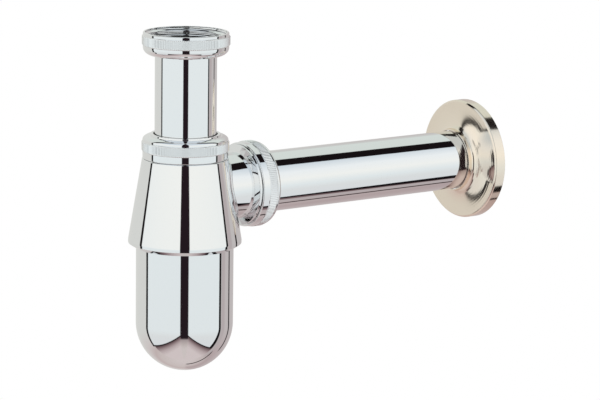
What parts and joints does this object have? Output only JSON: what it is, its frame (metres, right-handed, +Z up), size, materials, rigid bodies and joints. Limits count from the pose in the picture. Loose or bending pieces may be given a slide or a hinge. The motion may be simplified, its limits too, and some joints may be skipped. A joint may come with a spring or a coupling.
{
  "type": "bottle trap",
  "caption": "Chromed brass bottle trap: bell with a screw-off cup, sliding inlet and outlet pipes in slip nuts, and a wall flange.",
  "frame": {"origin": "centre of the inlet's sealing plane, the top face of the flat gasket that meets the basin waste", "axes": "+Z up the inlet pipe towards the basin, +X along the outlet pipe towards the wall"},
  "size_m": [0.2295, 0.0652, 0.1783],
  "materials": {
    "polished_chrome": "polished chrome plate on brass",
    "flange_chrome": "polished chrome plate on a spun steel flange",
    "black_rubber": "moulded EPDM rubber",
    "white_nylon": "natural nylon",
    "plain_brass": "machined brass, not plated"
  },
  "bodies": {
    "inlet_pipe": {"inlet_tube": "polished_chrome", "inlet_gasket": "black_rubber"},
    "union_washer": {"union_slip_washer": "white_nylon"},
    "union_nut": {"inlet_union_nut": "polished_chrome"},
    "height_seal": {"inlet_cone_seal": "black_rubber"},
    "bell": {"bell_body": "polished_chrome", "dip_tube": "plain_brass", "dip_tube_o_ring": "black_rubber", "outlet_spigot": "polished_chrome", "outlet_cone_seal": "black_rubber"},
    "inlet_ring": {"inlet_slip_ring": "white_nylon"},
    "inlet_nut": {"inlet_slip_nut": "polished_chrome"},
    "cup_washer": {"cup_gasket": "black_rubber"},
    "cup": {"cup_shell": "polished_chrome", "cup_thread_ring": "plain_brass"},
    "outlet_ring": {"outlet_slip_ring": "white_nylon"},
    "outlet_nut": {"outlet_slip_nut": "polished_chrome"},
    "outlet_pipe": {"outlet_tube": "polished_chrome"},
    "flange": {"wall_flange": "flange_chrome", "flange_grip_ring": "black_rubber"}
  },
  "joints": [
    {"name": "union_drop", "type": "slide", "parent": "inlet_pipe", "child": "union_washer", "axis": [0, 0, 1], "range_m": [-0.015, 0]},
    {"name": "union_turn", "type": "hinge", "parent": "union_washer", "child": "union_nut", "pos_m": [0, 0, 0], "axis": [0, 0, 1], "continuous": true},
    {"name": "height", "type": "slide", "parent": "inlet_pipe", "child": "height_seal", "axis": [0, 0, 1], "range_m": [-0.025, 0.015]},
    {"name": "swivel", "type": "hinge", "parent": "height_seal", "child": "bell", "pos_m": [0, 0, -0.0782], "axis": [0, 0, 1], "continuous": true},
    {"name": "inlet_nut_lift", "type": "slide", "parent": "bell", "child": "inlet_ring", "axis": [0, 0, 1], "range_m": [0, 0.00693]},
    {"name": "inlet_nut_turn", "type": "hinge", "parent": "inlet_ring", "child": "inlet_nut", "pos_m": [0, 0, -0.0782], "axis": [0, 0, 1], "range_deg": [0, 1080]},
    {"name": "cup_lower", "type": "slide", "parent": "bell", "child": "cup_washer", "axis": [0, 0, 1], "range_m": [-0.00801, 0]},
    {"name": "cup_turn", "type": "hinge", "parent": "cup_washer", "child": "cup", "pos_m": [0, 0, -0.0782], "axis": [0, 0, 1], "range_deg": [-1440, 0]},
    {"name": "outlet_nut_draw", "type": "slide", "parent": "bell", "child": "outlet_ring", "axis": [1, 0, 0], "range_m": [0, 0.00693]},
    {"name": "outlet_nut_turn", "type": "hinge", "parent": "outlet_ring", "child": "outlet_nut", "pos_m": [0, 0, -0.0782], "axis": [1, 0, 0], "range_deg": [0, 1080]},
    {"name": "reach", "type": "slide", "parent": "bell", "child": "outlet_pipe", "axis": [1, 0, 0], "range_m": [-0.003, 0.007]},
    {"name": "flange_slide", "type": "slide", "parent": "outlet_pipe", "child": "flange", "axis": [1, 0, 0], "range_m": [-0.115, 0.012]}
  ],
  "couplings": [
    {"joint": "inlet_nut_turn", "follows": "inlet_nut_lift", "rad_per_m": 2721.2},
    {"joint": "cup_lower", "follows": "cup_turn", "m_per_rad": 0.00031831},
    {"joint": "outlet_nut_turn", "follows": "outlet_nut_draw", "rad_per_m": 2721.2}
  ]
}
